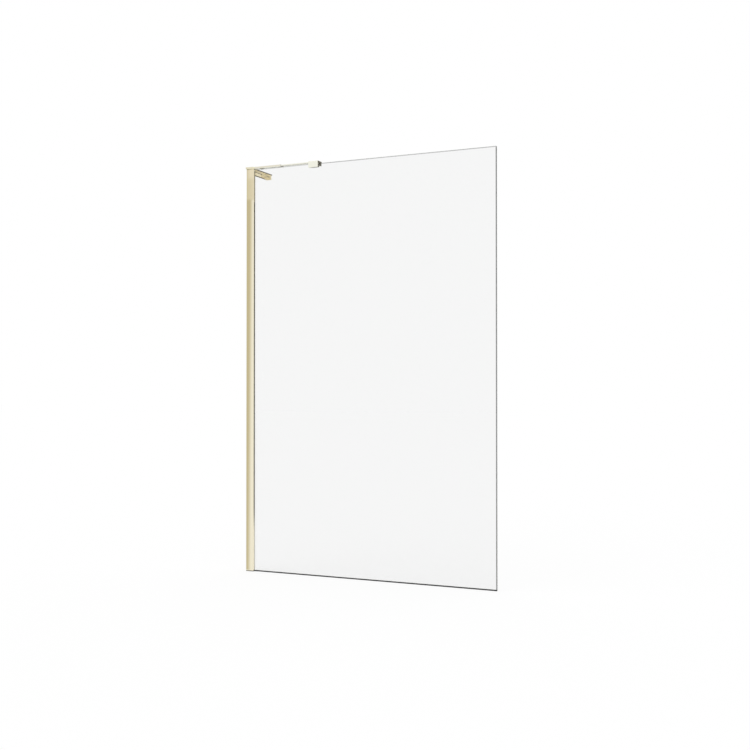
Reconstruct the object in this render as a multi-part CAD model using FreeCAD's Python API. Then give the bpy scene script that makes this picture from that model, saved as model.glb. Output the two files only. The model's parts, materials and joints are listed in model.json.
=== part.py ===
import FreeCAD, Part
import os

os.makedirs("parts", exist_ok=True)

# A fixed glass shower screen. The origin is on the wall at floor level, in the middle of the glass.
# X runs from the wall along the glass, Y into the shower, Z up. Lengths are in millimetres.

# overall
panel_width = 1300.0
screen_height = 2000.0
glass_thick = 8.0
glass_arris = 0.6
travel = 15.0

# clearances
slide_gap = 0.3
run_gap = 0.15
tip_gap = 0.1
stop_gap = 0.5
top_gap = 0.5
foot_gap = 0.3
mouth_gap = 0.6
overrun = 2.0

# wall profile
profile_width = 42.0
rear_setback = 8.0
profile_wall = 3.0
profile_web = 3.0
profile_round = 0.8
port_outer_r = 3.1
port_inner_r = 2.0
port_sink = 0.4
foot_thick = 3.6
foot_peg = 12.0
wall_hole_r = 3.25
wall_hole_shares = (0.05, 0.35, 0.65, 0.95)

# glazing channel that holds the glass and slides in the wall profile
channel_base = 3.0
channel_leg = 2.5
channel_recess = 0.4
lip_height = 3.2
lip_length = 2.5
gasket_thick = 3.0
gasket_length = 8.0
gasket_hook = 2.0
gasket_bead = 0.6
rear_gasket_thick = 1.5
rear_leg = 2.2
block_thick = 5.0
block_length = 90.0
block_height_shares = (0.12, 0.5, 0.88)

# strip under the glass
seal_leg = 1.0
seal_rise = 0.8
seal_short = 0.5

# set screws that lock the channel, on the shower side
set_screw_r = 2.0
set_screw_edge = 5.4
set_socket_r = 1.15
set_socket_depth = 1.6
set_height_shares = (0.075, 0.36, 0.64, 0.925)
cover_r = 4.5
cover_thick = 1.4
cover_peg_r = 0.9
cover_peg = 1.3

# stabilising bracket: corner plate, telescopic arm over the glass, angle on the wall
arm_height = 9.0
corner_lap = 9.0
corner_depth = 44.0
corner_round = 1.0
sleeve_width = 34.0
sleeve_wall = 1.0
sleeve_end = 193.0
spigot_length = 25.0
bush_thick = 0.85
bush_length = 23.0
bush_flange = 1.0
shoe_length = 16.0
shoe_end = 2.0
bar_arris = 0.4
angle_width = 37.0
angle_thick = 5.0
angle_swell = 1.05
angle_drop = 20.0
angle_bevel_rise = 4.0
angle_bevel_depth = 3.3
angle_inner = 2.5
angle_length = 156.0
angle_round = 0.3
tongue_length = 24.0
tongue_side = 3.0
tongue_height_share = 0.5
end_plate_width = 28.0
end_plate_thick = 10.0
end_plate_drop = 23.0
angle_hole_r = 2.75
angle_hole_shares = (0.3, 0.75)

# countersunk screws of the bracket
sunk_head_r = 3.8
sunk_head_h = 1.9
sunk_shank_r = 2.0
long_screw = 19.0
short_screw = 4.5
drive_r = 1.4
drive_depth = 1.2
pair_share = 0.25

# clamp on the top edge of the glass
clamp_start = 350.0
clamp_length = 52.0
clamp_front = 14.5
clamp_rear = 13.0
clamp_roof = 2.5
clamp_front_drop = 30.0
clamp_rear_drop = 22.5
clamp_round = 1.2
clamp_ceiling = 1.0
socket_length = 30.0
pad_thick = 1.5
pad_inset = 2.0
plate_thick = 3.0
plate_gap = 0.5
plate_inset = 3.0
clamp_screw_r = 3.0
clamp_socket_r = 1.7
clamp_socket_depth = 3.0
clamp_screw_shares = (0.25, 0.75)
plug_thick = 2.5
bar_screw_r = 2.0
bar_screw_recess = 0.5

# places across the glass, from its middle
glass_y = glass_thick / 2
lip_y = glass_y + gasket_thick
channel_in_y = lip_y + lip_height
channel_y = channel_in_y + channel_leg
wall_in_y = channel_y + slide_gap
profile_y = wall_in_y + profile_wall
rear_in_y = glass_y + rear_gasket_thick
rear_leg_y = rear_in_y + rear_leg
rear_wall_y = rear_leg_y + slide_gap
profile_rear_y = rear_wall_y + profile_wall
profile_mid_y = (rear_wall_y - wall_in_y) / 2
front_port_y = port_outer_r - port_sink - wall_in_y
rear_port_y = rear_wall_y + port_sink - port_outer_r
corner_y = profile_y + corner_lap
corner_rear_y = corner_depth - corner_y
sleeve_y = sleeve_width / 2
cavity_y = sleeve_y - sleeve_wall
bar_y = cavity_y - bush_thick - run_gap
slot_front_y = -glass_y - pad_thick
pad_rear_y = glass_y + pad_thick
plate_rear_y = pad_rear_y + plate_thick
slot_rear_y = plate_rear_y + plate_gap
clamp_front_y = slot_front_y - clamp_front
clamp_rear_y = slot_rear_y + clamp_rear
angle_end_y = corner_rear_y + angle_length

# places along the glass, from the wall
port_x = profile_web + port_outer_r - port_sink
channel_x = port_x + port_outer_r + slide_gap
channel_in_x = channel_x + channel_base
glass_x = channel_in_x + block_thick
channel_end = profile_width - channel_recess
lip_x = channel_end - lip_length
rear_end = profile_width - rear_setback
channel_rear_end = channel_end - rear_setback
seal_x = profile_width + mouth_gap
spigot_end = profile_width + spigot_length
bush_x = sleeve_end - bush_length
shoe_x1 = bush_x - travel - stop_gap
shoe_x = shoe_x1 - shoe_length
bar_x = shoe_x + shoe_end
bar_end = clamp_start + socket_length
clamp_end = clamp_start + clamp_length
set_screw_x = rear_end - set_screw_edge
angle_foot_x = angle_thick + angle_swell

# heights, from the floor
channel_z = foot_thick + slide_gap
glass_z = channel_z + foot_gap
glass_top = screen_height - top_gap
arm_top = screen_height + arm_height
cavity_z = screen_height + sleeve_wall
cavity_top = arm_top - sleeve_wall
bar_z = cavity_z + bush_thick + run_gap
bar_top = cavity_top - bush_thick - run_gap
angle_top = screen_height + angle_thick
tongue_top = screen_height + angle_thick * tongue_height_share
angle_foot = screen_height - angle_drop
angle_bevel_top = angle_foot + angle_bevel_rise
clamp_top = bar_top + clamp_roof
clamp_foot = clamp_top - clamp_front_drop
clamp_rear_foot = clamp_top - clamp_rear_drop
slot_top = glass_top + clamp_ceiling
plate_top = glass_top - pad_inset
clamp_screw_z = (clamp_rear_foot + plate_top) / 2


def block(x0, x1, y0, y1, z0, z1):
    return Part.makeBox(x1 - x0, y1 - y0, z1 - z0, FreeCAD.Vector(x0, y0, z0))


def rod_up(r, x, y, z0, z1):
    return Part.makeCylinder(r, z1 - z0, FreeCAD.Vector(x, y, z0))


def rod_along(r, x0, x1, y, z):
    return Part.makeCylinder(r, x1 - x0, FreeCAD.Vector(x0, y, z), FreeCAD.Vector(1, 0, 0))


def rod_across(r, x, y0, y1, z):
    return Part.makeCylinder(r, y1 - y0, FreeCAD.Vector(x, y0, z), FreeCAD.Vector(0, 1, 0))


def hexagon_across(r, x, y0, y1, z):
    corners = [FreeCAD.Vector(r, 0, 0)]
    turn = FreeCAD.Rotation(FreeCAD.Vector(0, 1, 0), 60)
    while len(corners) < 7:
        corners.append(turn.multVec(corners[-1]))
    face = Part.Face(Part.makePolygon([c + FreeCAD.Vector(x, y0, z) for c in corners]))
    return face.extrude(FreeCAD.Vector(0, y1 - y0, 0))


def hexagon_up(r, x, y, z0, z1):
    corners = [FreeCAD.Vector(r, 0, 0)]
    turn = FreeCAD.Rotation(FreeCAD.Vector(0, 0, 1), 60)
    while len(corners) < 7:
        corners.append(turn.multVec(corners[-1]))
    face = Part.Face(Part.makePolygon([c + FreeCAD.Vector(x, y, z0) for c in corners]))
    return face.extrude(FreeCAD.Vector(0, 0, z1 - z0))


def outline_up(points, z0, z1):
    corners = [FreeCAD.Vector(x, y, z0) for x, y in points]
    face = Part.Face(Part.makePolygon(corners + corners[:1]))
    return face.extrude(FreeCAD.Vector(0, 0, z1 - z0))


def outline_across(points, y0, y1):
    corners = [FreeCAD.Vector(x, y0, z) for x, z in points]
    face = Part.Face(Part.makePolygon(corners + corners[:1]))
    return face.extrude(FreeCAD.Vector(0, y1 - y0, 0))


def edges_along(shape, axis, keep):
    found = []
    for edge in shape.Edges:
        run = edge.lastVertex().Point - edge.firstVertex().Point
        if abs(run.normalize().dot(axis)) > 1 - 1e-6 and keep(edge.CenterOfMass):
            found.append(edge)
    return found


def write(name, *pieces):
    shape = pieces[0] if len(pieces) == 1 else Part.makeCompound(list(pieces))
    shape.exportStep("parts/" + name + ".step")


def set_places():
    return [screen_height * share for share in set_height_shares]


def corner_screw_places():
    return [(port_x, front_port_y), (port_x, rear_port_y)]


def end_screw_place():
    return (angle_foot_x + end_plate_width / 2, angle_end_y - end_plate_thick / 2)


def tongue_screw_places():
    middle = (angle_thick + angle_width) / 2
    reach = (angle_width - angle_thick) * pair_share
    return [(middle + side * reach, corner_rear_y + tongue_length / 2) for side in (-1, 1)]


def spigot_screw_places():
    return [(profile_width + spigot_length / 2, side * sleeve_width * pair_share) for side in (-1, 1)]


def sunk_body(x, y, top, length):
    neck = top - sunk_head_h
    head = Part.makeCone(sunk_shank_r, sunk_head_r, sunk_head_h, FreeCAD.Vector(x, y, neck))
    return head.fuse(rod_up(sunk_shank_r, x, y, top - length, neck)).removeSplitter()


def sunk_screw(x, y, top, length):
    drive = hexagon_up(drive_r, x, y, top - drive_depth, top + overrun)
    return sunk_body(x, y, top, length).cut(drive)


def wall_profile():
    low, high = foot_thick - overrun, screen_height + overrun
    body = block(0, profile_width, -profile_y, profile_rear_y, foot_thick, screen_height)
    body = body.cut(block(rear_end, profile_width + overrun, 0, profile_rear_y + overrun, low, high))
    mouth = edges_along(body, FreeCAD.Vector(0, 0, 1), lambda c: c.x > profile_web and abs(c.y) > glass_y)
    body = body.makeFillet(profile_round, mouth)
    body = body.cut(block(profile_web, profile_width + overrun, -wall_in_y, rear_wall_y, low, high))
    for x, y in corner_screw_places():
        body = body.fuse(rod_up(port_outer_r, x, y, foot_thick, screen_height))
    body = body.removeSplitter()
    for x, y in corner_screw_places():
        body = body.cut(rod_up(port_inner_r, x, y, low, high))
    for share in wall_hole_shares:
        z = screen_height * share
        body = body.cut(rod_along(wall_hole_r, -overrun, profile_web + overrun, profile_mid_y, z))
    for z in set_places():
        body = body.cut(rod_across(set_screw_r, set_screw_x, rear_leg_y, profile_rear_y + overrun, z))
    return body


def profile_foot():
    body = block(0, profile_width, -profile_y, profile_rear_y, 0, foot_thick)
    body = body.cut(block(rear_end, profile_width + overrun, rear_wall_y, profile_rear_y + overrun,
                          -overrun, foot_thick + overrun))
    for x, y in corner_screw_places():
        body = body.fuse(rod_up(port_inner_r, x, y, foot_thick, foot_thick + foot_peg))
    return body


def set_screws():
    screws = []
    for z in set_places():
        screw = rod_across(set_screw_r, set_screw_x, rear_leg_y + tip_gap, profile_rear_y, z)
        floor = profile_rear_y - set_socket_depth
        socket = hexagon_across(set_socket_r, set_screw_x, floor, profile_rear_y + overrun, z)
        screws.append(screw.cut(socket))
    return screws


def screw_covers():
    covers = []
    for z in set_places():
        disc = rod_across(cover_r, set_screw_x, profile_rear_y, profile_rear_y + cover_thick, z)
        rim = [edge for edge in disc.Edges if edge.CenterOfMass.y > profile_rear_y + cover_thick / 2]
        rim = [edge for edge in rim if len(edge.Vertexes) == 1]
        disc = disc.makeFillet(cover_thick / 2, rim)
        peg = rod_across(cover_peg_r, set_screw_x, profile_rear_y - cover_peg, profile_rear_y, z)
        covers.append(disc.fuse(peg))
    return covers


def glass_channel():
    low, high = channel_z - overrun, glass_top + overrun
    body = block(channel_x, channel_end, -channel_y, rear_leg_y, channel_z, glass_top)
    body = body.cut(block(channel_rear_end, channel_end + overrun, 0, rear_leg_y + overrun, low, high))
    body = body.cut(block(channel_in_x, lip_x, -channel_in_y, rear_in_y, low, high))
    return body.cut(block(channel_in_x, channel_end + overrun, -lip_y, rear_in_y, low, high))


def glass_panel():
    pane = block(glass_x, panel_width, -glass_y, glass_y, glass_z, glass_top)
    return pane.makeChamfer(glass_arris, pane.Edges)


def front_gasket():
    start, end = channel_end - gasket_length, channel_end + gasket_bead
    points = [(start, -glass_y), (end, -glass_y), (end, -lip_y), (lip_x, -lip_y),
              (lip_x, -lip_y - gasket_hook), (start, -lip_y - gasket_hook)]
    return outline_up(points, channel_z, glass_top)


def rear_gasket():
    start, end = channel_rear_end - gasket_length, channel_rear_end + gasket_bead
    points = [(start, glass_y), (end, glass_y), (end, rear_leg_y), (channel_rear_end, rear_leg_y),
              (channel_rear_end, rear_in_y), (start, rear_in_y)]
    return outline_up(points, channel_z, glass_top)


def edge_blocks():
    half = block_length / 2
    heights = [screen_height * share for share in block_height_shares]
    return [block(channel_in_x, glass_x, -glass_y, glass_y, z - half, z + half) for z in heights]


def bottom_seal():
    side, lip = glass_y + seal_leg, glass_z + seal_rise
    body = block(seal_x, panel_width - seal_short, -side, side, 0, lip)
    return body.cut(block(seal_x - overrun, panel_width, -glass_y, glass_y, glass_z, lip + overrun))


def bracket_corner():
    body = block(0, profile_width, -corner_y, corner_rear_y, screen_height, arm_top)
    front = edges_along(body, FreeCAD.Vector(1, 0, 0), lambda c: c.y < 0)
    body = body.makeFillet(corner_round, front)
    body = body.fuse(block(profile_width, spigot_end, -cavity_y, cavity_y, cavity_z, cavity_top))
    body = body.fuse(block(angle_thick + tongue_side, angle_width - tongue_side,
                           corner_rear_y, corner_rear_y + tongue_length, screen_height, tongue_top))
    for x, y in corner_screw_places():
        body = body.cut(sunk_body(x, y, arm_top, long_screw))
    for x, y in tongue_screw_places():
        body = body.cut(sunk_body(x, y, angle_top, short_screw))
    for x, y in spigot_screw_places():
        body = body.cut(sunk_body(x, y, arm_top, short_screw))
    return body


def corner_screws():
    screws = [sunk_screw(x, y, arm_top, long_screw) for x, y in corner_screw_places()]
    return screws + [sunk_screw(*end_screw_place(), angle_top, long_screw)]


def joint_screws():
    screws = [sunk_screw(x, y, angle_top, short_screw) for x, y in tongue_screw_places()]
    return screws + [sunk_screw(x, y, arm_top, short_screw) for x, y in spigot_screw_places()]


def arm_sleeve():
    body = block(profile_width, sleeve_end, -sleeve_y, sleeve_y, screen_height, arm_top)
    body = body.makeFillet(sleeve_wall / 2, edges_along(body, FreeCAD.Vector(1, 0, 0), lambda c: True))
    body = body.cut(block(profile_width - overrun, sleeve_end + overrun, -cavity_y, cavity_y,
                          cavity_z, cavity_top))
    for x, y in spigot_screw_places():
        body = body.cut(sunk_body(x, y, arm_top, short_screw))
    return body


def sleeve_bush():
    flange = block(sleeve_end, sleeve_end + bush_flange, -sleeve_y, sleeve_y, screen_height, arm_top)
    corners = edges_along(flange, FreeCAD.Vector(1, 0, 0), lambda c: True)
    flange = flange.makeFillet(sleeve_wall / 2, corners)
    liner = block(bush_x, sleeve_end, -cavity_y, cavity_y, cavity_z, cavity_top)
    way_y = bar_y + run_gap
    way = block(bush_x - overrun, sleeve_end + bush_flange + overrun, -way_y, way_y,
                bar_z - run_gap, bar_top + run_gap)
    return flange.fuse(liner).cut(way)


def arm_bar():
    bar = block(bar_x, bar_end, -bar_y, bar_y, bar_z, bar_top)
    return bar.makeChamfer(bar_arris, edges_along(bar, FreeCAD.Vector(1, 0, 0), lambda c: True))


def bar_shoe():
    shoe_y = cavity_y - run_gap
    outer = block(shoe_x, shoe_x1, -shoe_y, shoe_y, cavity_z + run_gap, cavity_top - run_gap)
    pocket = block(bar_x, shoe_x1 + overrun, -bar_y, bar_y, bar_z, bar_top)
    return outer.cut(pocket)


def wall_angle():
    body = block(0, angle_width, corner_rear_y, angle_end_y, screen_height, angle_top)
    outer = edges_along(body, FreeCAD.Vector(0, 1, 0), lambda c: c.x > 0)
    body = body.makeFillet(angle_round, outer)
    wall_side = [(0, angle_foot), (angle_foot_x - angle_bevel_depth, angle_foot),
                 (angle_foot_x, angle_bevel_top), (angle_thick, screen_height), (0, screen_height)]
    inner = [(0, screen_height - angle_inner), (angle_thick, screen_height - angle_inner),
             (angle_thick + angle_inner, screen_height), (0, screen_height)]
    body = body.fuse(outline_across(wall_side, corner_rear_y, angle_end_y))
    body = body.fuse(outline_across(inner, corner_rear_y, angle_end_y - end_plate_thick)).removeSplitter()
    body = body.cut(block(angle_thick + tongue_side, angle_width - tongue_side, corner_rear_y - overrun,
                          corner_rear_y + tongue_length, screen_height - overrun, tongue_top))
    for share in angle_hole_shares:
        body = body.cut(rod_along(angle_hole_r, -overrun, angle_foot_x + overrun,
                                  corner_rear_y + angle_length * share, screen_height - angle_drop / 2))
    for x, y in tongue_screw_places():
        body = body.cut(sunk_body(x, y, angle_top, short_screw))
    return body.cut(sunk_body(*end_screw_place(), angle_top, long_screw))


def end_plate():
    plate = block(angle_foot_x, angle_foot_x + end_plate_width, angle_end_y - end_plate_thick, angle_end_y,
                  screen_height - end_plate_drop, screen_height)
    return plate.cut(sunk_body(*end_screw_place(), angle_top, long_screw))


def clamp_body():
    body = block(clamp_start, clamp_end, clamp_front_y, clamp_rear_y, clamp_foot, clamp_top)
    body = body.cut(block(clamp_start - overrun, clamp_end + overrun, slot_rear_y, clamp_rear_y + overrun,
                          clamp_foot - overrun, clamp_rear_foot))
    rear = clamp_rear_y - plug_thick
    outer = edges_along(body, FreeCAD.Vector(1, 0, 0), lambda c: c.y < slot_front_y or c.y > rear)
    body = body.makeFillet(clamp_round, outer)
    body = body.cut(block(clamp_start - overrun, clamp_end + overrun, slot_front_y, slot_rear_y,
                          clamp_foot - overrun, slot_top))
    body = body.cut(block(clamp_start - overrun, bar_end, -bar_y, bar_y, bar_z, bar_top))
    for x in clamp_screw_places():
        body = body.cut(rod_across(clamp_screw_r, x, plate_rear_y, clamp_rear_y + overrun, clamp_screw_z))
    return body.cut(rod_across(bar_screw_r, bar_screw_x(), bar_y, clamp_rear_y + overrun, bar_screw_z()))


def clamp_screw_places():
    return [clamp_start + clamp_length * share for share in clamp_screw_shares]


def bar_screw_x():
    return clamp_start + socket_length / 2


def bar_screw_z():
    return (bar_z + bar_top) / 2


def front_pad():
    return block(clamp_start + pad_inset, clamp_end - pad_inset, slot_front_y, -glass_y,
                 clamp_foot + pad_inset, plate_top)


def rear_pad():
    return block(clamp_start + pad_inset, clamp_end - pad_inset, glass_y, pad_rear_y,
                 clamp_rear_foot, plate_top)


def pressure_plate():
    return block(clamp_start + plate_inset, clamp_end - plate_inset, pad_rear_y, plate_rear_y,
                 clamp_rear_foot, plate_top)


def clamp_screws():
    screws = []
    for x in clamp_screw_places():
        end = clamp_rear_y - plug_thick
        screw = rod_across(clamp_screw_r, x, plate_rear_y, end, clamp_screw_z)
        floor = end - clamp_socket_depth
        screws.append(screw.cut(hexagon_across(clamp_socket_r, x, floor, end + overrun, clamp_screw_z)))
    return screws


def clamp_plugs():
    return [rod_across(clamp_screw_r, x, clamp_rear_y - plug_thick, clamp_rear_y, clamp_screw_z)
            for x in clamp_screw_places()]


def bar_screw():
    x, z, end = bar_screw_x(), bar_screw_z(), clamp_rear_y - bar_screw_recess
    screw = rod_across(bar_screw_r, x, bar_y, end, z)
    return screw.cut(hexagon_across(set_socket_r, x, end - set_socket_depth, end + overrun, z))


write("wall_profile", wall_profile())
write("profile_foot", profile_foot())
write("set_screws", *set_screws())
write("screw_covers", *screw_covers())
write("glass_channel", glass_channel())
write("glass_panel", glass_panel())
write("front_gasket", front_gasket())
write("rear_gasket", rear_gasket())
write("edge_blocks", *edge_blocks())
write("bottom_seal", bottom_seal())
write("bracket_corner", bracket_corner())
write("corner_screws", *corner_screws())
write("joint_screws", *joint_screws())
write("arm_sleeve", arm_sleeve())
write("sleeve_bush", sleeve_bush())
write("arm_bar", arm_bar())
write("bar_shoe", bar_shoe())
write("wall_angle", wall_angle())
write("end_plate", end_plate())
write("clamp_body", clamp_body())
write("clamp_front_pad", front_pad())
write("clamp_rear_pad", rear_pad())
write("pressure_plate", pressure_plate())
write("clamp_screws", *clamp_screws())
write("clamp_plugs", *clamp_plugs())
write("bar_screw", bar_screw())
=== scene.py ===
import json
import math

import bmesh
import bpy
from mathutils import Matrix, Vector


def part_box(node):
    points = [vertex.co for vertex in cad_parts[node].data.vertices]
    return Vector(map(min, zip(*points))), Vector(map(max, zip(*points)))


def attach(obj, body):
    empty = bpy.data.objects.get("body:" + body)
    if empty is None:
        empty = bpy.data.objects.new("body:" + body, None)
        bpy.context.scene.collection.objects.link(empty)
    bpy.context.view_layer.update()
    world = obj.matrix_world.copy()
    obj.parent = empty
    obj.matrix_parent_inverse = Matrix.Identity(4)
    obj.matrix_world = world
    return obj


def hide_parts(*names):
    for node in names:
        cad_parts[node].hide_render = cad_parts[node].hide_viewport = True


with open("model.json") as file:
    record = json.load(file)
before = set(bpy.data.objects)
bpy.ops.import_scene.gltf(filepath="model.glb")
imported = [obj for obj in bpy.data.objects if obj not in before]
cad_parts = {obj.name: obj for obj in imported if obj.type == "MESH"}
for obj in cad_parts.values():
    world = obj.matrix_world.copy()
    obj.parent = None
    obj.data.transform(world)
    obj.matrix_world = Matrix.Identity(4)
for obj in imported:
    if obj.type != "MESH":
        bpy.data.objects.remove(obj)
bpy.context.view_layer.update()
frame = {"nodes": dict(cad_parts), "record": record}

scene = bpy.context.scene
scene.view_settings.view_transform = "Standard"
print("shower screen: frame loaded,", len(frame["nodes"]), "nodes")


# small helpers for node trees

def makeNode(tree, kind, **settings):
    node = tree.nodes.new(kind)
    for key, value in settings.items():
        setattr(node, key, value)
    return node


def feed(tree, socket, value):
    if isinstance(value, bpy.types.NodeSocket):
        tree.links.new(value, socket)
    else:
        socket.default_value = value


def calc(tree, operation, a, b=0.0):
    node = makeNode(tree, "ShaderNodeMath", operation=operation)
    feed(tree, node.inputs[0], a)
    feed(tree, node.inputs[1], b)
    return node.outputs[0]


def spread(tree, value, fromMin, fromMax, toMin, toMax, smooth=False):
    node = makeNode(tree, "ShaderNodeMapRange", interpolation_type="SMOOTHSTEP" if smooth else "LINEAR")
    feed(tree, node.inputs["Value"], value)
    for label, number in (("From Min", fromMin), ("From Max", fromMax), ("To Min", toMin), ("To Max", toMax)):
        feed(tree, node.inputs[label], number)
    return node.outputs["Result"]


def mixColour(tree, factor, first, second):
    node = makeNode(tree, "ShaderNodeMix", data_type="RGBA")
    for socket, value in ((node.inputs[0], factor), (node.inputs[6], first), (node.inputs[7], second)):
        feed(tree, socket, value)
    return node.outputs[2]


def objectPoint(tree, stretch=(1, 1, 1)):
    coord = makeNode(tree, "ShaderNodeTexCoord")
    mapping = makeNode(tree, "ShaderNodeMapping")
    mapping.inputs["Scale"].default_value = stretch
    tree.links.new(coord.outputs["Object"], mapping.inputs["Vector"])
    return mapping.outputs["Vector"]


def noiseOf(tree, scale, stretch=(1, 1, 1), detail=4.0):
    node = makeNode(tree, "ShaderNodeTexNoise")
    tree.links.new(objectPoint(tree, stretch), node.inputs["Vector"])
    node.inputs["Scale"].default_value = scale
    node.inputs["Detail"].default_value = detail
    return node.outputs["Fac"]


def bumpOf(tree, shader, height, strength, distance):
    node = makeNode(tree, "ShaderNodeBump")
    node.inputs["Strength"].default_value = strength
    node.inputs["Distance"].default_value = distance
    tree.links.new(height, node.inputs["Height"])
    tree.links.new(node.outputs["Normal"], shader.inputs["Normal"])


def emptyMaterial(name):
    mat = bpy.data.materials.new(name)
    mat.use_nodes = True
    mat.node_tree.nodes.clear()
    out = makeNode(mat.node_tree, "ShaderNodeOutputMaterial")
    return mat, mat.node_tree, out


def newFinish(name):
    mat, tree, out = emptyMaterial(name)
    shader = makeNode(tree, "ShaderNodeBsdfPrincipled")
    tree.links.new(shader.outputs["BSDF"], out.inputs["Surface"])
    return mat, tree, shader, out


def shade(colour, factor):
    return tuple(min(1.0, c * factor) for c in colour) + (1.0,)


# finishes: each reads its own dictionary

noiseSpan = (0.3, 0.7)  # where most of the noise lies
metalSwing, glassSwing = 0.15, 0.5  # how far the noise moves the roughness


def toneOf(tree, factor, look):
    dark, light = shade(look["colour"], 1 - look["cloud"]), shade(look["colour"], 1 + look["cloud"])
    return mixColour(tree, factor, dark, light)


def metalFinish(name, look):
    mat, tree, shader, _ = newFinish(name)
    shader.inputs["Metallic"].default_value = 1.0
    cloud = noiseOf(tree, look["cloudScale"])
    feed(tree, shader.inputs["Base Color"], toneOf(tree, cloud, look))
    lines = noiseOf(tree, look["lineScale"], look["lineStretch"])
    rough = spread(tree, lines, *noiseSpan, look["rough"] * (1 - metalSwing), look["rough"] * (1 + metalSwing))
    feed(tree, shader.inputs["Roughness"], rough)
    bumpOf(tree, shader, lines, look["lineStrength"], look["lineDepth"])
    return mat


def mouldedFinish(name, look):
    mat, tree, shader, _ = newFinish(name)
    grain = noiseOf(tree, look["grainScale"], look.get("grainStretch", (1, 1, 1)))
    cloud = noiseOf(tree, look["cloudScale"])
    both = calc(tree, "MULTIPLY", calc(tree, "ADD", grain, cloud), 0.5)
    feed(tree, shader.inputs["Base Color"], toneOf(tree, both, look))
    rough = spread(tree, grain, *noiseSpan, look["rough"] - look["roughSpan"], look["rough"] + look["roughSpan"])
    feed(tree, shader.inputs["Roughness"], rough)
    shader.inputs["Coat Weight"].default_value = look.get("coat", 0.0)
    bumpOf(tree, shader, grain, look["grainStrength"], look["grainDepth"])
    return mat


def glassFinish(name, look):
    mat, tree, shader, out = newFinish(name)
    cloud = noiseOf(tree, look["cloudScale"])
    tone = toneOf(tree, cloud, look)
    if "underArmHighlight" in look:  # painted highlight: the edge is painted lighter where the arm lies over it
        split = makeNode(tree, "ShaderNodeSeparateXYZ")
        tree.links.new(objectPoint(tree), split.inputs["Vector"])
        beyond = spread(tree, split.outputs["X"], *look["armEnd"], 0.0, 1.0)
        tone = mixColour(tree, beyond, shade(look["underArmHighlight"], 1.0), tone)
    feed(tree, shader.inputs["Base Color"], tone)
    shader.inputs["Transmission Weight"].default_value = 1.0
    shader.inputs["IOR"].default_value = look["ior"]
    rough = spread(tree, cloud, *noiseSpan, look["rough"] * (1 - glassSwing), look["rough"] * (1 + glassSwing))
    feed(tree, shader.inputs["Roughness"], rough)
    clear = makeNode(tree, "ShaderNodeBsdfTransparent")  # lets soft light and shadows through
    clear.inputs["Color"].default_value = shade(look["colour"], 1.0)
    path = makeNode(tree, "ShaderNodeLightPath")
    mix = makeNode(tree, "ShaderNodeMixShader")
    soft = calc(tree, "MAXIMUM", path.outputs["Is Shadow Ray"], path.outputs["Is Diffuse Ray"])
    tree.links.new(soft, mix.inputs["Fac"])
    tree.links.new(shader.outputs["BSDF"], mix.inputs[1])
    tree.links.new(clear.outputs["BSDF"], mix.inputs[2])
    tree.links.new(mix.outputs["Shader"], out.inputs["Surface"])
    return mat


goldProfileLook = {"colour": (0.865, 0.805, 0.63), "cloud": 0.012, "cloudScale": 4.0, "rough": 0.09,
                   "lineScale": 800.0, "lineStretch": (1, 1, 0.003), "lineStrength": 0.06, "lineDepth": 0.00001}
goldBracketLook = {"colour": (0.88, 0.875, 0.77), "cloud": 0.012, "cloudScale": 9.0, "rough": 0.09,
                   "lineScale": 900.0, "lineStretch": (0.02, 1, 1), "lineStrength": 0.05, "lineDepth": 0.00001}
cornerLook = {"colour": (0.88, 0.85, 0.69), "cloud": 0.012, "cloudScale": 9.0, "rough": 0.09,
              "lineScale": 900.0, "lineStretch": (0.02, 1, 1), "lineStrength": 0.05, "lineDepth": 0.00001}
wallLegLook = {"colour": (0.87, 0.81, 0.64), "cloud": 0.012, "cloudScale": 9.0, "rough": 0.045,
               "lineScale": 900.0, "lineStretch": (1, 0.02, 1), "lineStrength": 0.05, "lineDepth": 0.00001}
steelLook = {"colour": (0.60, 0.60, 0.61), "cloud": 0.05, "cloudScale": 60.0, "rough": 0.26,
             "lineScale": 1500.0, "lineStretch": (1, 1, 1), "lineStrength": 0.1, "lineDepth": 0.00002}
plateLook = {"colour": (0.70, 0.70, 0.70), "cloud": 0.04, "cloudScale": 40.0, "rough": 0.34,
             "lineScale": 900.0, "lineStretch": (0.02, 1, 1), "lineStrength": 0.2, "lineDepth": 0.00002}
capLook = {"colour": (0.80, 0.73, 0.55), "cloud": 0.03, "cloudScale": 80.0, "grainScale": 900.0, "rough": 0.22,
           "roughSpan": 0.05, "coat": 0.4, "grainStrength": 0.05, "grainDepth": 0.00002}
rubberLook = {"colour": (0.022, 0.022, 0.021), "cloud": 0.2, "cloudScale": 30.0, "grainScale": 1100.0,
              "rough": 0.6, "roughSpan": 0.08, "grainStrength": 0.25, "grainDepth": 0.00005}
gasketLook = {"colour": (0.27, 0.245, 0.185), "cloud": 0.08, "cloudScale": 20.0, "grainScale": 900.0,
              "grainStretch": (1, 1, 0.05), "rough": 0.42, "roughSpan": 0.06, "coat": 0.15, "grainStrength": 0.2,
              "grainDepth": 0.00004}
plasticLook = {"colour": (0.05, 0.05, 0.05), "cloud": 0.12, "cloudScale": 25.0, "grainScale": 1400.0,
               "rough": 0.48, "roughSpan": 0.06, "grainStrength": 0.3, "grainDepth": 0.00004}
bushLook = {"colour": (0.84, 0.81, 0.71), "cloud": 0.06, "cloudScale": 25.0, "grainScale": 1400.0,
            "rough": 0.4, "roughSpan": 0.06, "grainStrength": 0.3, "grainDepth": 0.00004}
sealLook = {"colour": (0.012, 0.012, 0.0115), "cloud": 0.12, "cloudScale": 12.0, "grainScale": 900.0,
            "grainStretch": (0.05, 1, 1), "rough": 0.5, "roughSpan": 0.06, "grainStrength": 0.2,
            "grainDepth": 0.00004}
paneLook = {"colour": (0.917, 0.919, 0.918), "cloud": 0.002, "cloudScale": 2.0, "rough": 0.004, "ior": 1.5}
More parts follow.
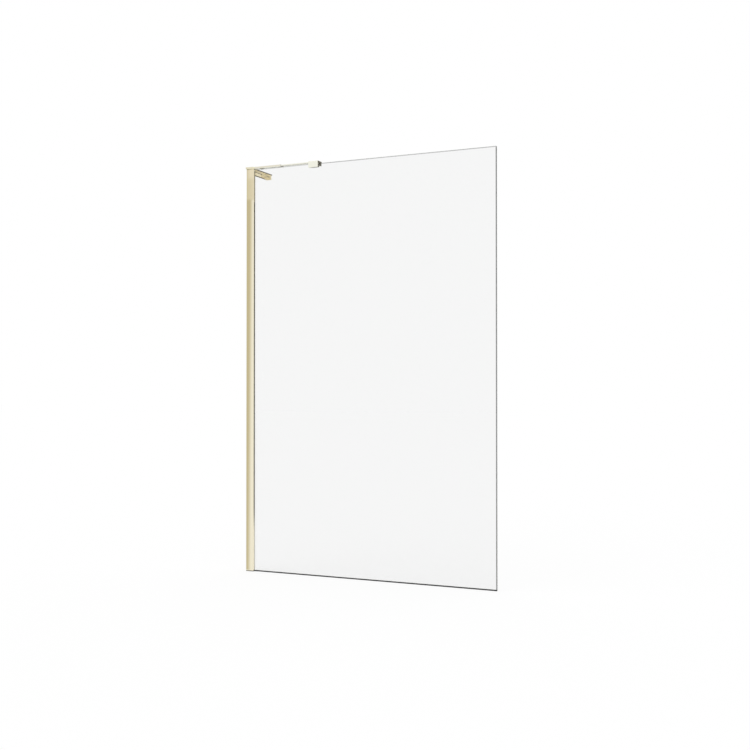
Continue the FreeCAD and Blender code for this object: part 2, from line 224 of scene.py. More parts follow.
# the edge's colour is painted lighter under the arm as a painted highlight
paneEdgeLook = {"colour": (0.57, 0.575, 0.57), "cloud": 0.03, "cloudScale": 120.0, "rough": 0.12, "ior": 1.5,
                "underArmHighlight": (0.76, 0.765, 0.76), "armEnd": (0.39, 0.40)}
# painted shade for the free end of the pane
paneEndShadeLook = {"colour": (0.20, 0.205, 0.20), "cloud": 0.03, "cloudScale": 120.0, "rough": 0.12, "ior": 1.5}

goldProfile = metalFinish("goldProfile", goldProfileLook)
goldBracket = metalFinish("goldBracket", goldBracketLook)
goldCorner = metalFinish("goldCorner", cornerLook)
goldLeg = metalFinish("goldWallLeg", wallLegLook)
steel = metalFinish("steelScrews", steelLook)
plateAluminium = metalFinish("plateAluminium", plateLook)
goldCaps = mouldedFinish("goldCaps", capLook)
blackRubber = mouldedFinish("blackRubber", rubberLook)
darkPlastic = mouldedFinish("darkPlastic", plasticLook)
greyGasket = mouldedFinish("greyGasket", gasketLook)
greySeal = mouldedFinish("greySeal", sealLook)
paleBush = mouldedFinish("paleBush", bushLook)
paneGlass = glassFinish("clearGlass", paneLook)
paneEdge = glassFinish("groundGlassEdge", paneEdgeLook)
paneEnd = glassFinish("groundGlassEndShade", paneEndShadeLook)

slotFinish = {"gold_profile": goldProfile, "gold_bracket": goldBracket, "gold_caps": goldCaps,
              "steel_screws": steel, "black_rubber": blackRubber, "grey_gasket": greyGasket,
              "dark_plastic": darkPlastic, "grey_seal": greySeal, "plate_aluminium": plateAluminium,
              "clear_glass": paneGlass}
# pieces whose finish differs from their slot's
ownFinish = {"wall_angle": goldLeg, "end_plate": goldLeg, "bracket_corner": goldCorner, "sleeve_bush": paleBush}
for part in frame["record"]["subparts"]:
    slots = frame["nodes"][part["node"]].data.materials
    slots.clear()
    slots.append(ownFinish.get(part["node"], slotFinish[part["material_slot"]]))
print("shower screen: finishes on the frame,", len(slotFinish) + len(set(ownFinish.values())), "materials")


# pieces of the scene's own

weldGap = 1e-6  # metres


def addPiece(name, mesh, body, slotName, *nodes):
    piece = bpy.data.objects.new(name, mesh)
    scene.collection.objects.link(piece)
    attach(piece, body)
    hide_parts(*nodes)
    return piece


def solidBoxes(nodeName):
    bm = bmesh.new()
    bm.from_mesh(frame["nodes"][nodeName].data)
    bmesh.ops.remove_doubles(bm, verts=bm.verts, dist=weldGap)
    left, boxes = set(bm.verts), []
    while left:
        queue, island = [left.pop()], []
        while queue:
            vert = queue.pop()
            island.append(vert.co.copy())
            for edge in vert.link_edges:
                other = edge.other_vert(vert)
                if other in left:
                    left.remove(other)
                    queue.append(other)
        low = Vector([min(p[i] for p in island) for i in range(3)])
        high = Vector([max(p[i] for p in island) for i in range(3)])
        boxes.append((low, high))
    bm.free()
    return sorted(boxes, key=lambda box: tuple(round(v, 5) for v in box[0]))


# the pane: a slab with seamed edges and a narrow ground band along the two free sides

pane = {"arris": 0.0006, "cornerRound": 0.002, "cornerSteps": 5, "bandFree": 0.004, "bandHidden": 0.001,
        "bandRound": 0.0005}


def roundedLoop(box, insets, radius, steps):
    x0, x1 = box[0].x + insets["left"], box[1].x - insets["right"]
    z0, z1 = box[0].z + insets["foot"], box[1].z - insets["top"]
    points = []
    for cx, cz, start in ((x1 - radius, z0 + radius, -90), (x1 - radius, z1 - radius, 0),
                          (x0 + radius, z1 - radius, 90), (x0 + radius, z0 + radius, 180)):
        for step in range(steps):
            turn = math.radians(start + 90 * step / (steps - 1))
            points.append((cx + radius * math.cos(turn), cz + radius * math.sin(turn)))
    return points


def evenInset(depth):
    return {"left": depth, "right": depth, "foot": depth, "top": depth}


def paneMesh():
    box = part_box("glass_panel")
    box = (Vector(box[0]), Vector(box[1]))
    front, rear, arris, corner = box[0].y, box[1].y, pane["arris"], pane["cornerRound"]
    hidden, free = pane["bandHidden"], pane["bandFree"]
    band = {"left": hidden, "right": free, "foot": hidden, "top": free}
    faceInset, sideInset = evenInset(arris), evenInset(0.0)
    rings = [(band, front, pane["bandRound"]), (faceInset, front, corner - arris),
             (sideInset, front + arris, corner), (sideInset, rear - arris, corner),
             (faceInset, rear, corner - arris), (band, rear, pane["bandRound"])]
    bm = bmesh.new()
    loops = []
    for insets, y, radius in rings:
        points = roundedLoop(box, insets, radius, pane["cornerSteps"])
        loops.append([bm.verts.new((x, y, z)) for x, z in points])
    count = len(loops[0])
    for first, second in zip(loops, loops[1:]):
        for i in range(count):
            face = bm.faces.new((first[i], first[(i + 1) % count], second[(i + 1) % count], second[i]))
            middle = face.calc_center_median()
            atEnd = middle.x > box[1].x - free and middle.z < box[1].z - free
            face.material_index = 2 if atEnd else 1  # painted shade: the free end is painted darker than the other edges
    bm.faces.new(loops[0])
    bm.faces.new(list(reversed(loops[-1])))
    bmesh.ops.recalc_face_normals(bm, faces=bm.faces)
    mesh = bpy.data.meshes.new("glassPane")
    bm.to_mesh(mesh)
    bm.free()
    for finish in (paneGlass, paneEdge, paneEnd):
        mesh.materials.append(finish)
    return mesh


addPiece("glassPane", paneMesh(), "glass_unit", "clear_glass", "glass_panel")
print("shower screen: glass pane made")


# geometry node trees

def newTree(name, sockets):
    tree = bpy.data.node_groups.new(name, "GeometryNodeTree")
    tree.interface.new_socket("Geometry", in_out="INPUT", socket_type="NodeSocketGeometry")
    tree.interface.new_socket("Geometry", in_out="OUTPUT", socket_type="NodeSocketGeometry")
    for label, kind in sockets:
        tree.interface.new_socket(label, in_out="INPUT", socket_type=kind)
    return tree, makeNode(tree, "NodeGroupInput").outputs, makeNode(tree, "NodeGroupOutput")


def closeTree(tree, given, out, geometry):
    real = makeNode(tree, "GeometryNodeRealizeInstances")
    paint = makeNode(tree, "GeometryNodeSetMaterial")
    tree.links.new(geometry, real.inputs["Geometry"])
    tree.links.new(real.outputs["Geometry"], paint.inputs["Geometry"])
    tree.links.new(given["Material"], paint.inputs["Material"])
    tree.links.new(paint.outputs["Geometry"], out.inputs["Geometry"])


def growMesh(name, points, faces, tree, values):
    seedMesh = bpy.data.meshes.new(name + "Seed")
    seedMesh.from_pydata(points, [], faces)
    seed = bpy.data.objects.new(name + "Seed", seedMesh)
    scene.collection.objects.link(seed)
    modifier = seed.modifiers.new("grow", "NODES")
    modifier.node_group = tree
    for item in tree.interface.items_tree:
        if item.item_type == "SOCKET" and item.in_out == "INPUT" and item.name in values:
            modifier[item.identifier] = values[item.name]
    graph = bpy.context.evaluated_depsgraph_get()
    grown = seed.evaluated_get(graph)
    mesh = bpy.data.meshes.new_from_object(grown, preserve_all_data_layers=True, depsgraph=graph)
    mesh.name = name
    seed.modifiers.remove(modifier)
    bpy.data.objects.remove(seed)
    return mesh


# strips: a section that is pushed along a straight run

def stripTree():
    tree, given, out = newTree("stripRun", [("Run", "NodeSocketVector"), ("Material", "NodeSocketMaterial")])
    push = makeNode(tree, "GeometryNodeExtrudeMesh", mode="FACES")
    push.inputs["Individual"].default_value = False
    push.inputs["Offset Scale"].default_value = 1.0
    flip = makeNode(tree, "GeometryNodeFlipFaces")
    join = makeNode(tree, "GeometryNodeJoinGeometry")
    merge = makeNode(tree, "GeometryNodeMergeByDistance")
    merge.inputs["Distance"].default_value = weldGap
    tree.links.new(given["Geometry"], push.inputs["Mesh"])
    tree.links.new(given["Run"], push.inputs["Offset"])
    tree.links.new(given["Geometry"], flip.inputs["Mesh"])
    tree.links.new(push.outputs["Mesh"], join.inputs["Geometry"])
    tree.links.new(flip.outputs["Mesh"], join.inputs["Geometry"])
    tree.links.new(join.outputs["Geometry"], merge.inputs["Geometry"])
    closeTree(tree, given, out, merge.outputs["Geometry"])
    return tree


def roundCorner(before, corner, after, radius, steps=4):
    corner = Vector(corner)
    toBefore, toAfter = (Vector(before) - corner).normalized(), (Vector(after) - corner).normalized()
    start, end = corner + toBefore * radius, corner + toAfter * radius
    return [tuple((1 - t) ** 2 * start + 2 * t * (1 - t) * corner + t ** 2 * end)
            for t in [i / steps for i in range(steps + 1)]]


def softOutline(corners):
    points = []
    for i, (u, v, radius) in enumerate(corners):
        if radius == 0:
            points.append((u, v))
            continue
        before, after = corners[i - 1][:2], corners[(i + 1) % len(corners)][:2]
        points.extend(roundCorner(before, (u, v), after, radius))
    return points


strips = stripTree()

frontGasket = {"hookStart": 0.0055, "hookRound": 0.0004, "lipDepth": 0.003, "beadRound": 0.0014,
               "finDepth": 0.0005, "fins": 3}
rearGasket = {"beadStep": 0.0006, "legDepth": 0.0015, "beadRound": 0.0009, "finDepth": 0.0004, "fins": 3}
footSeal = {"wall": 0.001, "floorTop": 0.0042, "edgeRound": 0.0007, "lipRound": 0.0003, "grooveDepth": 0.0006,
            "grooves": 3}


def finEdge(u0, u1, v, depth, count):
    step = (u1 - u0) / (2 * count + 1)
    points = []
    for i in range(count):
        points.append((u0 + step * (2 * i + 1), v, 0))
        points.append((u0 + step * (2 * i + 1.5), v + depth, 0))
        points.append((u0 + step * (2 * i + 2), v, 0))
    return points


def frontGasketOutline():
    low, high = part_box("front_gasket")
    lipY = high[1] - frontGasket["lipDepth"]
    lipX = low[0] + frontGasket["hookStart"]
    hook, bead = frontGasket["hookRound"], frontGasket["beadRound"]
    fins = finEdge(high[0] - bead * 2, low[0], high[1], -frontGasket["finDepth"], frontGasket["fins"])
    return softOutline([(low[0], low[1], hook), (lipX, low[1], hook), (lipX, lipY, 0), (high[0], lipY, bead),
                        (high[0], high[1], bead)] + fins + [(low[0], high[1], 0)])


def rearGasketOutline():
    low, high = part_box("rear_gasket")
    stepX = high[0] - rearGasket["beadStep"]
    legY = low[1] + rearGasket["legDepth"]
    bead = rearGasket["beadRound"]
    fins = finEdge(low[0], stepX - bead, low[1], rearGasket["finDepth"], rearGasket["fins"])
    return softOutline([(low[0], low[1], 0)] + fins
                       + [(high[0], low[1], bead / 2), (high[0], high[1], bead / 2),
                          (stepX, high[1], 0), (stepX, legY, 0), (low[0], legY, 0)])


def footSealOutline():
    low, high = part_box("bottom_seal")
    inner, floorTop = footSeal["wall"], low[2] + footSeal["floorTop"]
    edge, lip = footSeal["edgeRound"], footSeal["lipRound"]
    grooves = finEdge(low[1] + edge * 2, high[1] - edge * 2, low[2], footSeal["grooveDepth"], footSeal["grooves"])
    return softOutline([(low[1], low[2], edge)] + grooves
                       + [(high[1], low[2], edge), (high[1], high[2], lip), (high[1] - inner, high[2], lip),
                          (high[1] - inner, floorTop, 0), (low[1] + inner, floorTop, 0),
                          (low[1] + inner, high[2], lip), (low[1], high[2], lip)])


def upStrip(name, nodeName, outline, finish):
    low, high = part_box(nodeName)
    points = [(u, v, low[2]) for u, v in outline]
    values = {"Run": [0.0, 0.0, high[2] - low[2]], "Material": finish}
    return growMesh(name, points, [tuple(range(len(points)))], strips, values)


def alongStrip(name, nodeName, outline, finish):
    low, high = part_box(nodeName)
    points = [(low[0], u, v) for u, v in outline]
    values = {"Run": [high[0] - low[0], 0.0, 0.0], "Material": finish}
    return growMesh(name, points, [tuple(range(len(points)))], strips, values)


addPiece("frontGasket", upStrip("frontGasket", "front_gasket", frontGasketOutline(), greyGasket),
         "glass_unit", "grey_gasket", "front_gasket")
addPiece("rearGasket", upStrip("rearGasket", "rear_gasket", rearGasketOutline(), greyGasket),
         "glass_unit", "grey_gasket", "rear_gasket")
addPiece("footSeal", alongStrip("footSeal", "bottom_seal", footSealOutline(), greySeal),
         "glass_unit", "grey_seal", "bottom_seal")
print("shower screen: gaskets and foot seal made")


# screws and covers: one shaped form on each place that the frame gives

def pick(tree, test, no, yes):
    node = makeNode(tree, "GeometryNodeSwitch", input_type="FLOAT")
    for label, value in (("Switch", test), ("False", no), ("True", yes)):
        feed(tree, node.inputs[label], value)
    return node.outputs["Output"]


def compare(tree, operation, a, b):
    node = makeNode(tree, "FunctionNodeCompare", data_type="FLOAT", operation=operation)
    feed(tree, node.inputs["A"], a)
    feed(tree, node.inputs["B"], b)
    return node.outputs["Result"]


def cylinderOf(tree, radius, depth, corners, rings, fill):
    node = makeNode(tree, "GeometryNodeMeshCylinder", fill_type="NGON" if fill == 1 else "TRIANGLE_FAN")
    for label, value in (("Vertices", corners), ("Side Segments", rings), ("Fill Segments", fill),
                         ("Radius", radius), ("Depth", depth)):
        feed(tree, node.inputs[label], value)
    return node.outputs["Mesh"]


def reshape(tree, mesh, build):
    place = makeNode(tree, "GeometryNodeInputPosition")
    split = makeNode(tree, "ShaderNodeSeparateXYZ")
    tree.links.new(place.outputs["Position"], split.inputs["Vector"])
    joined = makeNode(tree, "ShaderNodeCombineXYZ")
    for socket, value in zip(joined.inputs, build(split.outputs["X"], split.outputs["Y"], split.outputs["Z"])):
        feed(tree, socket, value)
    node = makeNode(tree, "GeometryNodeSetPosition")
    tree.links.new(mesh, node.inputs["Geometry"])
    tree.links.new(joined.outputs["Vector"], node.inputs["Position"])
    return node.outputs["Geometry"]


def onPlaces(tree, given, out, form, turn):
    flat = makeNode(tree, "GeometryNodeSetShadeSmooth")
    flat.inputs["Shade Smooth"].default_value = False
    spots = makeNode(tree, "GeometryNodeInstanceOnPoints")
    tree.links.new(form, flat.inputs["Geometry"])
    tree.links.new(given["Geometry"], spots.inputs["Points"])
    tree.links.new(flat.outputs["Geometry"], spots.inputs["Instance"])
    spots.inputs["Rotation"].default_value = turn
    closeTree(tree, given, out, spots.outputs["Instances"])


screwRings = {"corners": 36, "rings": 2, "driveCorners": 6, "split": 0.25}  # split parts the rings of a unit cylinder
capRings = {"corners": 40, "fill": 8, "pegCorners": 20}


def sizedTree(name, sizes):
    sockets = [(size, "NodeSocketFloat") for size in sizes]
    return newTree(name, sockets + [("Material", "NodeSocketMaterial")])


def sunkScrewTree():
    sizes = ("Head Radius", "Head Height", "Shank Radius", "Length", "Drive Radius", "Drive Depth")
    tree, given, out = sizedTree("sunkScrews", sizes)

    def screwForm(x, y, z):
        atHead = compare(tree, "GREATER_THAN", z, screwRings["split"])
        atTip = compare(tree, "LESS_THAN", z, -screwRings["split"])
        radius = pick(tree, atHead, given["Shank Radius"], given["Head Radius"])
        neck = calc(tree, "MULTIPLY", given["Head Height"], -1.0)
        tip = calc(tree, "MULTIPLY", given["Length"], -1.0)
        height = pick(tree, atHead, pick(tree, atTip, neck, tip), 0.0)
        return calc(tree, "MULTIPLY", x, radius), calc(tree, "MULTIPLY", y, radius), height

    body = reshape(tree, cylinderOf(tree, 1.0, 1.0, screwRings["corners"], screwRings["rings"], 1), screwForm)
    depth = calc(tree, "MULTIPLY", given["Drive Depth"], 2.0)  # half of it stands above the head
    drive = cylinderOf(tree, given["Drive Radius"], depth, screwRings["driveCorners"], 1, 1)
    cut = makeNode(tree, "GeometryNodeMeshBoolean", operation="DIFFERENCE", solver="EXACT")
    tree.links.new(body, cut.inputs["Mesh 1"])
    tree.links.new(drive, cut.inputs["Mesh 2"])
    onPlaces(tree, given, out, cut.outputs["Mesh"], (0.0, 0.0, 0.0))
    return tree


def domedCapTree():
    tree, given, out = sizedTree("domedCaps", ("Radius", "Rim", "Dome", "Peg Radius", "Peg Length"))

    def capForm(x, y, z):
        far = calc(tree, "ADD", calc(tree, "MULTIPLY", x, x), calc(tree, "MULTIPLY", y, y))
        inside = calc(tree, "MAXIMUM", calc(tree, "SUBTRACT", 1.0, far), 0.0)
        rise = calc(tree, "MULTIPLY", given["Dome"], calc(tree, "SQRT", inside))
        height = pick(tree, compare(tree, "GREATER_THAN", z, 0.0), 0.0, calc(tree, "ADD", given["Rim"], rise))
        return calc(tree, "MULTIPLY", x, given["Radius"]), calc(tree, "MULTIPLY", y, given["Radius"]), height

    def pegForm(x, y, z):
        height = pick(tree, compare(tree, "GREATER_THAN", z, 0.0), calc(tree, "MULTIPLY", given["Peg Length"], -1.0),
                      calc(tree, "MULTIPLY", given["Rim"], 0.5))
        return calc(tree, "MULTIPLY", x, given["Peg Radius"]), calc(tree, "MULTIPLY", y, given["Peg Radius"]), height

    cap = reshape(tree, cylinderOf(tree, 1.0, 1.0, capRings["corners"], 1, capRings["fill"]), capForm)
    peg = reshape(tree, cylinderOf(tree, 1.0, 1.0, capRings["pegCorners"], 1, 1), pegForm)
    whole = makeNode(tree, "GeometryNodeMeshBoolean", operation="UNION", solver="EXACT")
    tree.links.new(cap, whole.inputs["Mesh 2"])
    tree.links.new(peg, whole.inputs["Mesh 2"])
    onPlaces(tree, given, out, whole.outputs["Mesh"], (math.radians(-90), 0.0, 0.0))
    return tree


sunkScrews = sunkScrewTree()
domedCaps = domedCapTree()

sunkScrew = {"Head Radius": 0.0038, "Head Height": 0.0019, "Shank Radius": 0.002, "Drive Radius": 0.0014,
             "Drive Depth": 0.0012}
screwCover = {"Radius": 0.0045, "Rim": 0.0005, "Dome": 0.0009, "Peg Radius": 0.0009, "Peg Length": 0.0013}


def screwGroup(name, nodeName):
    boxes = solidBoxes(nodeName)
    tops = [((low.x + high.x) / 2, (low.y + high.y) / 2, high.z) for low, high in boxes]
    values = dict(sunkScrew, Length=boxes[0][1].z - boxes[0][0].z, Material=steel)
    addPiece(name, growMesh(name, tops, [], sunkScrews, values), "wall_frame", "steel_screws", nodeName)
    return len(tops)


def coverGroup(name, nodeName):
    boxes = solidBoxes(nodeName)
    seats = [((low.x + high.x) / 2, high.y - screwCover["Rim"] - screwCover["Dome"], (low.z + high.z) / 2)
             for low, high in boxes]
    addPiece(name, growMesh(name, seats, [], domedCaps, dict(screwCover, Material=goldCaps)),
             "wall_frame", "gold_caps", nodeName)
    return len(seats)


screwCount = screwGroup("cornerScrews", "corner_screws") + screwGroup("jointScrews", "joint_screws")
coverCount = coverGroup("screwCovers", "screw_covers")
print("shower screen:", screwCount, "sunk screws and", coverCount, "covers made")


# studio: white all round for what is seen, soft light on what is matte

studio = {"ambient": 0.8, "sun": 0.6, "sunSize": 60.0, "sunTurn": (35.0, -20.0, 0.0), "floorTone": 0.35,
          "floorHalf": 30.0}
sunTilt = math.cos(math.radians(studio["sunTurn"][0])) * math.cos(math.radians(studio["sunTurn"][1]))
floorLit = studio["floorTone"] * (studio["ambient"] + studio["sun"] * sunTilt / math.pi)


def seenRay(tree):
    path = makeNode(tree, "ShaderNodeLightPath")
    direct = calc(tree, "MAXIMUM", path.outputs["Is Camera Ray"], path.outputs["Is Glossy Ray"])
    direct = calc(tree, "MAXIMUM", direct, path.outputs["Is Transmission Ray"])
    return calc(tree, "MULTIPLY", direct, calc(tree, "LESS_THAN", path.outputs["Diffuse Depth"], 0.5))


def buildWorld():
    world = bpy.data.worlds.new("studio")
    scene.world = world
    world.use_nodes = True
    tree = world.node_tree
    tree.nodes.clear()
    light = makeNode(tree, "ShaderNodeBackground")
    light.inputs["Color"].default_value = (1, 1, 1, 1)
    feed(tree, light.inputs["Strength"], spread(tree, seenRay(tree), 0.0, 1.0, studio["ambient"], 1.0))
    out = makeNode(tree, "ShaderNodeOutputWorld")
    tree.links.new(light.outputs["Background"], out.inputs["Surface"])


def stageSheet(name, corners, mat):
    mesh = bpy.data.meshes.new(name)
    mesh.from_pydata(corners, [], [(0, 1, 2, 3)])
    mesh.materials.append(mat)
    sheet = bpy.data.objects.new(name, mesh)
    scene.collection.objects.link(sheet)
    return sheet


def buildFloor():
    mat, tree, out = emptyMaterial("paleFloor")
    matte = makeNode(tree, "ShaderNodeBsdfDiffuse")
    matte.inputs["Color"].default_value = shade((1, 1, 1), studio["floorTone"])
    glow = makeNode(tree, "ShaderNodeEmission")
    glow.inputs["Color"].default_value = (1, 1, 1, 1)
    feed(tree, glow.inputs["Strength"], calc(tree, "MULTIPLY", seenRay(tree), 1.0 - floorLit))
    both = makeNode(tree, "ShaderNodeAddShader")
    tree.links.new(matte.outputs["BSDF"], both.inputs[0])
    tree.links.new(glow.outputs["Emission"], both.inputs[1])
    tree.links.new(both.outputs["Shader"], out.inputs["Surface"])
    half = studio["floorHalf"]
    return stageSheet("floor", [(-half, -half, 0), (half, -half, 0), (half, half, 0), (-half, half, 0)], mat)


# cards of painted reflection: glowing sheets of painted shade and painted highlight that show only in reflections,
# within their reach and bounces, and not to the camera

def buildCard(name, look, corners, paint):
    mat, tree, out = emptyMaterial(name)
    split = makeNode(tree, "ShaderNodeSeparateXYZ")
    tree.links.new(objectPoint(tree), split.inputs["Vector"])
    tone, gap = paint(tree, split.outputs)
    path = makeNode(tree, "ShaderNodeLightPath")
    least, most = look.get("bounces", (1, 1))
    early = calc(tree, "LESS_THAN", path.outputs["Glossy Depth"], least - 0.5)
    late = calc(tree, "GREATER_THAN", path.outputs["Glossy Depth"], most + 0.5)
    far = calc(tree, "GREATER_THAN", path.outputs["Ray Length"], look["reach"])
    hidden = calc(tree, "MAXIMUM", calc(tree, "MAXIMUM", early, late), calc(tree, "MAXIMUM", far, gap))
    glow = makeNode(tree, "ShaderNodeEmission")
    feed(tree, glow.inputs["Color"], tone)
    clear = makeNode(tree, "ShaderNodeBsdfTransparent")
    mix = makeNode(tree, "ShaderNodeMixShader")
    tree.links.new(hidden, mix.inputs["Fac"])
    tree.links.new(glow.outputs["Emission"], mix.inputs[1])
    tree.links.new(clear.outputs["BSDF"], mix.inputs[2])
    tree.links.new(mix.outputs["Shader"], out.inputs["Surface"])
    card = stageSheet(name, corners, mat)
    card.visible_camera = False
    card.visible_diffuse = False
    card.visible_shadow = False
    return card


# along the profile's front and the sleeve: a painted shade gradient on the profile front, lighter in steps towards
# its top, and painted shade on the sleeve front
frontCard = {"reach": 0.055, "y": -0.05, "x": (-0.16, 0.0215), "z": (0.0, 2.1),
             "edge": -0.0052, "lean": 0.0071, "soft": 0.013, "shade": (0.634, 0.584, 0.439, 1),
             "middle": (0.73, 0.69, 0.56, 1), "middleEnd": (0.86, 0.82, 0.73, 1),
             "middleSpan": (-0.02, 0.0215), "middleFrom": (1.846, 1.864),
             "topStart": (0.74, 0.70, 0.61, 1), "top": (0.907, 0.873, 0.808, 1),
             "topSpan": (-0.021, 0.0), "topFrom": (1.945, 1.975)}
sleeveCard = {"reach": 0.055, "y": -0.05, "x": (0.0215, 0.174), "z": (2.0, 2.03), "shade": (0.874, 0.838, 0.795, 1)}
# painted shadow line under the corner plate, darker towards the wall
cornerShadowCard = {"reach": 0.01, "bounces": (1, 2), "y": -0.0165, "x": (-0.001, 0.043), "z": (1.9975, 2.0),
                  "shade": (0.40, 0.385, 0.30, 1), "end": (0.75, 0.71, 0.60, 1)}
# beside and behind the profile: a painted dark reflection on the profile's side strip and a painted shade gradient on
# its rear face
sideCard = {"reach": 0.06, "x": 0.065, "y": (0.006, 0.042), "z": (0.1, 2.0), "shade": (0.008, 0.007, 0.005, 1),
            "low": (0.05, 0.043, 0.032, 1), "lowFrom": 0.47, "lowTo": 1.77, "fade": (0.17, 0.32),
            "top": (0.36, 0.34, 0.28, 1), "topFrom": 1.8416}
rearCard = {"reach": 0.06, "y": 0.04, "x": (-0.09, 0.06), "z": (0.0, 1.96), "shade": (0.62, 0.575, 0.44, 1),
            "bright": (1, 1, 1, 1), "end": (0.74, 0.70, 0.58, 1), "rise": (-0.02, 0.012), "fall": (0.03, 0.06)}
# round the angle on the wall: painted shade in the reflections of its flange edge and its wall flange, and a painted
# shade line in its inner corner
legCard = {"reach": 0.06, "x": 0.06, "y": (0.05, 0.216), "z": (2.0087, 2.0165), "shade": (0.04, 0.034, 0.024, 1)}
legLowCard = {"reach": 0.31, "bounces": (2, 2), "x": 0.15, "y": (0.22, 0.42), "z": (1.945, 1.99),
              "shade": (0.67, 0.64, 0.567, 1)}
# painted shade line in the inner corner of the angle
legCreaseShadeCard = {"reach": 0.135, "z": 1.94, "x": (0.012, 0.055), "y": (0.09, 0.275), "shade": (0.12, 0.105, 0.08, 1)}
# beside and under the bar and the clamp: painted shade in the reflections of the clamp's end and under the bar,
# darker under the clamp
clampCard = {"reach": 0.1, "x": 0.44, "y": (0.045, 0.105), "z": (1.99, 2.035), "shade": (0.16, 0.15, 0.13, 1)}
underCard = {"reach": 0.075, "y": 0.05, "x": (0.15, 0.318), "z": (1.975, 1.996), "shade": (0.78, 0.775, 0.765, 1)}
clampUnderCard = {"reach": 0.075, "y": 0.05, "x": (0.318, 0.38), "z": (1.955, 1.976), "shade": (0.17, 0.17, 0.15, 1),
                  "start": (0.85, 0.85, 0.82, 1), "span": (0.322, 0.338)}
# over everything: a warm painted reflection for the top faces
ceilingCard = {"reach": 60.0, "z": 6.0, "x": (-9.0, 9.0), "y": (-9.0, 9.0), "shade": (0.84, 0.79, 0.67, 1),
               "rim": (3.0, 9.0)}


# painted shade gradient for the profile front's reflection
def frontPaint(tree, at):
    border = calc(tree, "ADD", calc(tree, "MULTIPLY", at["Z"], frontCard["lean"]), frontCard["edge"])
    edge = calc(tree, "SUBTRACT", at["X"], border)
    bright = spread(tree, edge, -frontCard["soft"], frontCard["soft"], 0.0, 1.0, smooth=True)
    upper = spread(tree, at["Z"], *frontCard["middleFrom"], 0.0, 1.0, smooth=True)
    across = spread(tree, at["X"], *frontCard["middleSpan"], 0.0, 1.0)
    middle = mixColour(tree, across, frontCard["middle"], frontCard["middleEnd"])
    tone = mixColour(tree, upper, frontCard["shade"], middle)
    topAcross = spread(tree, at["X"], *frontCard["topSpan"], 0.0, 1.0)
    top = mixColour(tree, topAcross, frontCard["topStart"], frontCard["top"])
    tone = mixColour(tree, spread(tree, at["Z"], *frontCard["topFrom"], 0.0, 1.0, smooth=True), tone, top)
    return tone, calc(tree, "MULTIPLY", bright, calc(tree, "SUBTRACT", 1.0, upper))


def sidePaint(tree, at):
    upward = spread(tree, at["Z"], sideCard["lowFrom"], sideCard["lowTo"], 0.0, 1.0)
    tone = mixColour(tree, upward, sideCard["low"], sideCard["shade"])
    tone = mixColour(tree, calc(tree, "GREATER_THAN", at["Z"], sideCard["topFrom"]), tone, sideCard["top"])
    return tone, spread(tree, at["Z"], *sideCard["fade"], 1.0, 0.0, smooth=True)


# painted shadow under the corner plate: darker towards the wall
def cornerShadowPaint(tree, at):
    along = spread(tree, at["X"], *cornerShadowCard["x"], 0.0, 1.0)
    return mixColour(tree, along, cornerShadowCard["shade"], cornerShadowCard["end"]), 0.0


def clampUnderPaint(tree, at):
    along = spread(tree, at["X"], *clampUnderCard["span"], 0.0, 1.0)
    return mixColour(tree, along, clampUnderCard["start"], clampUnderCard["shade"]), 0.0


def rearPaint(tree, at):
    rise = spread(tree, at["X"], *rearCard["rise"], 0.0, 1.0, smooth=True)
    fall = spread(tree, at["X"], *rearCard["fall"], 0.0, 1.0, smooth=True)
    tone = mixColour(tree, rise, rearCard["shade"], rearCard["bright"])
    return mixColour(tree, fall, tone, rearCard["end"]), 0.0


def ceilingPaint(tree, at):
    squares = [calc(tree, "MULTIPLY", at[axis], at[axis]) for axis in ("X", "Y")]
    aside = calc(tree, "SQRT", calc(tree, "ADD", *squares))
    return ceilingCard["shade"], spread(tree, aside, *ceilingCard["rim"], 0.0, 1.0, smooth=True)


def plainPaint(look):
    return lambda tree, at: (look["shade"], 0.0)


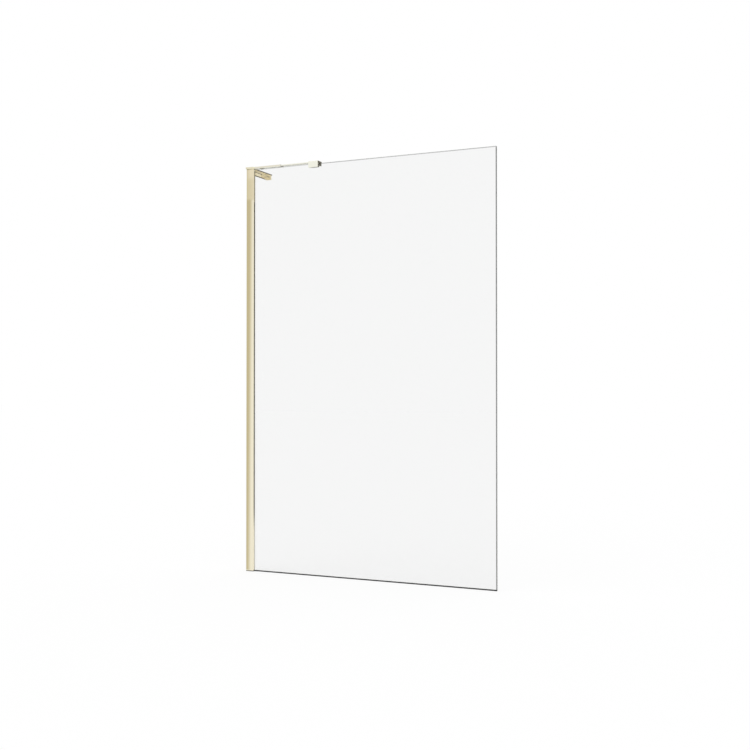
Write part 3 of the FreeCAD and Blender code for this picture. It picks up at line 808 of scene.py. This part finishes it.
def acrossY(look):
    (x0, x1), (z0, z1), y = look["x"], look["z"], look["y"]
    return [(x0, y, z0), (x1, y, z0), (x1, y, z1), (x0, y, z1)]


def acrossX(look):
    (y0, y1), (z0, z1), x = look["y"], look["z"], look["x"]
    return [(x, y0, z0), (x, y1, z0), (x, y1, z1), (x, y0, z1)]


def acrossZ(look):
    (x0, x1), (y0, y1), z = look["x"], look["y"], look["z"]
    return [(x0, y0, z), (x1, y0, z), (x1, y1, z), (x0, y1, z)]


buildWorld()
buildFloor()
cards = [("frontCard", frontCard, acrossY, frontPaint),
         ("sideCard", sideCard, acrossX, sidePaint),
         ("clampCard", clampCard, acrossX, plainPaint(clampCard)),
         ("legCard", legCard, acrossX, plainPaint(legCard)),
         ("legLowCard", legLowCard, acrossX, plainPaint(legLowCard)),
         ("sleeveCard", sleeveCard, acrossY, plainPaint(sleeveCard)),
         ("legCreaseShadeCard", legCreaseShadeCard, acrossZ, plainPaint(legCreaseShadeCard)),
         ("underCard", underCard, acrossY, plainPaint(underCard)),
         ("clampUnderCard", clampUnderCard, acrossY, clampUnderPaint),
         ("cornerShadowCard", cornerShadowCard, acrossY, cornerShadowPaint),
         ("rearCard", rearCard, acrossY, rearPaint),
         ("ceilingCard", ceilingCard, acrossZ, ceilingPaint)]
for name, look, lay, paint in cards:
    buildCard(name, look, lay(look), paint)
print("shower screen:", len(cards), "cards placed")

sun = bpy.data.lights.new("softSun", "SUN")
sun.energy = studio["sun"]
sun.angle = math.radians(studio["sunSize"])
sunObject = bpy.data.objects.new("softSun", sun)
sunObject.rotation_euler = [math.radians(a) for a in studio["sunTurn"]]
scene.collection.objects.link(sunObject)

view = {"lens": 51.434, "sensor": 36.0, "at": (2.80962, -4.6013, 0.91759), "turn": (90.6053, 0.0, 24.6574)}
cameraData = bpy.data.cameras.new("camera")
cameraData.lens = view["lens"]
cameraData.sensor_width = view["sensor"]
camera = bpy.data.objects.new("camera", cameraData)
camera.location = view["at"]
camera.rotation_euler = [math.radians(a) for a in view["turn"]]
scene.collection.objects.link(camera)
scene.camera = camera
print("shower screen: studio and camera set")
